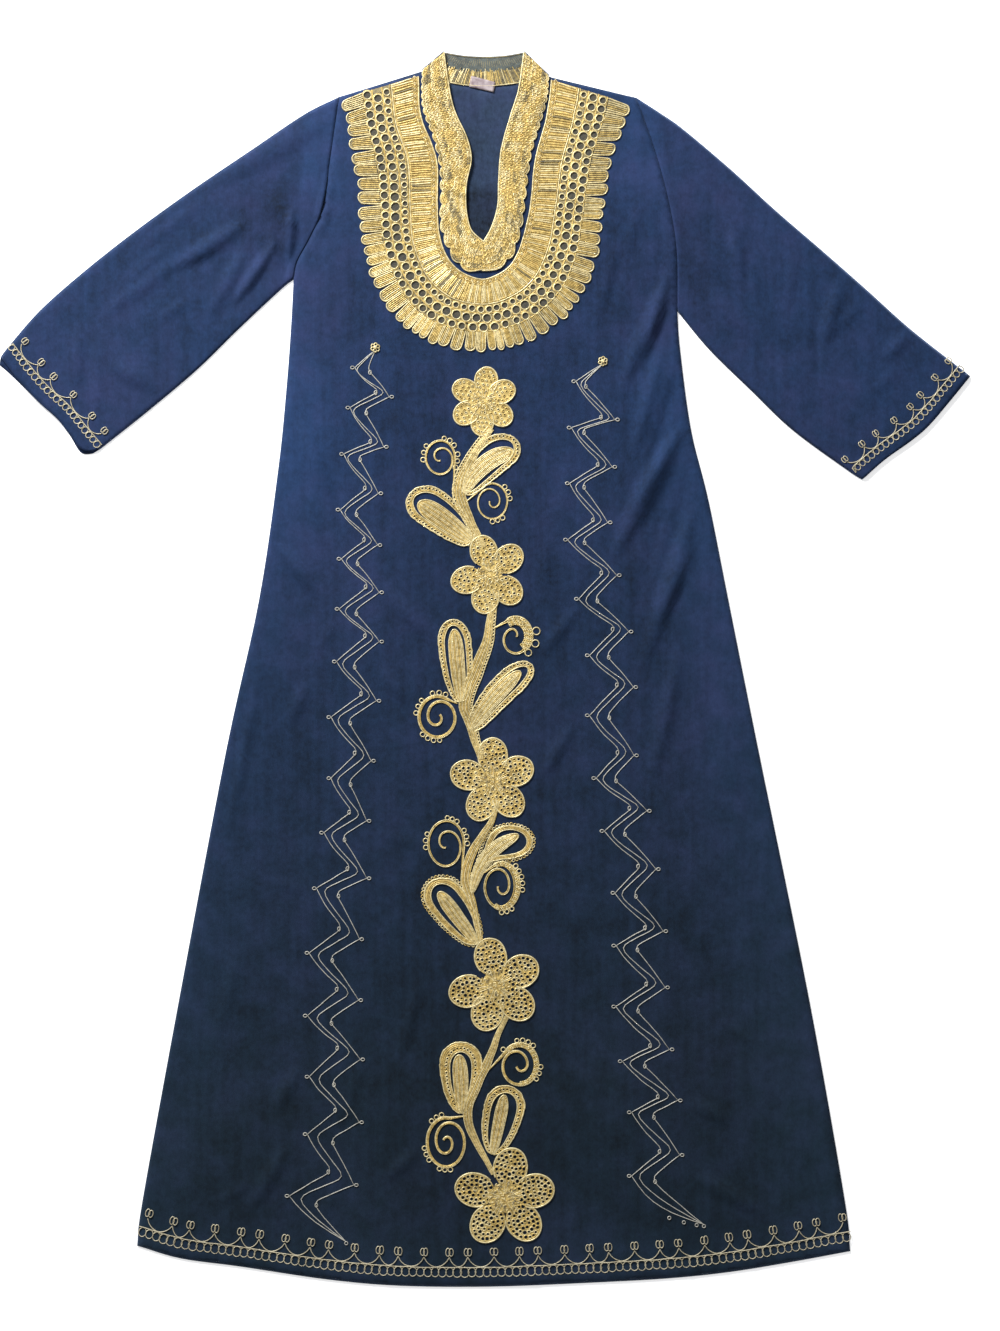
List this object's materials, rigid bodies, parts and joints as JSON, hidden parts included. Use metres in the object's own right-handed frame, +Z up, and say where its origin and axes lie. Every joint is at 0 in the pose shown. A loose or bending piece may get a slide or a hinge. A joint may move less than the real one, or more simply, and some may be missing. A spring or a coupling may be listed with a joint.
{
  "type": "moroccan caftan",
  "caption": "Long A-line caftan with three-quarter sleeves, stand collar, neck slit and raised cord embroidery, laid flat with its front up.",
  "frame": {"origin": "under the middle of the whole box, on the surface that the caftan lies on", "axes": "+Z up from the surface and out of the front of the garment, +Y from hem to collar, +X towards the garment's left arm, which is on the right seen from above"},
  "size_m": [1.071, 1.3588, 0.0112],
  "materials": {
    "navy_cloth": "soft matt woven cloth with a fine grain",
    "gold_cord": "couched metallic cord with a satin shine",
    "label_cloth": "smooth woven tape, blank"
  },
  "bodies": {
    "root": {"back_panel": "navy_cloth", "front_panel": "navy_cloth", "left_sleeve": "navy_cloth", "right_sleeve": "navy_cloth", "collar": "gold_cord", "neck_label": "label_cloth", "yoke_braid": "gold_cord", "yoke_rings": "gold_cord", "yoke_fan": "gold_cord", "flower_1": "gold_cord", "flower_2": "gold_cord", "flower_3": "gold_cord", "flower_4": "gold_cord", "flower_5": "gold_cord", "spray_1": "gold_cord", "spray_2": "gold_cord", "spray_3": "gold_cord", "spray_4": "gold_cord", "zigzag_left": "gold_cord", "zigzag_right": "gold_cord", "hem_border": "gold_cord", "cuff_border_left": "gold_cord", "cuff_border_right": "gold_cord"}
  },
  "joints": []
}
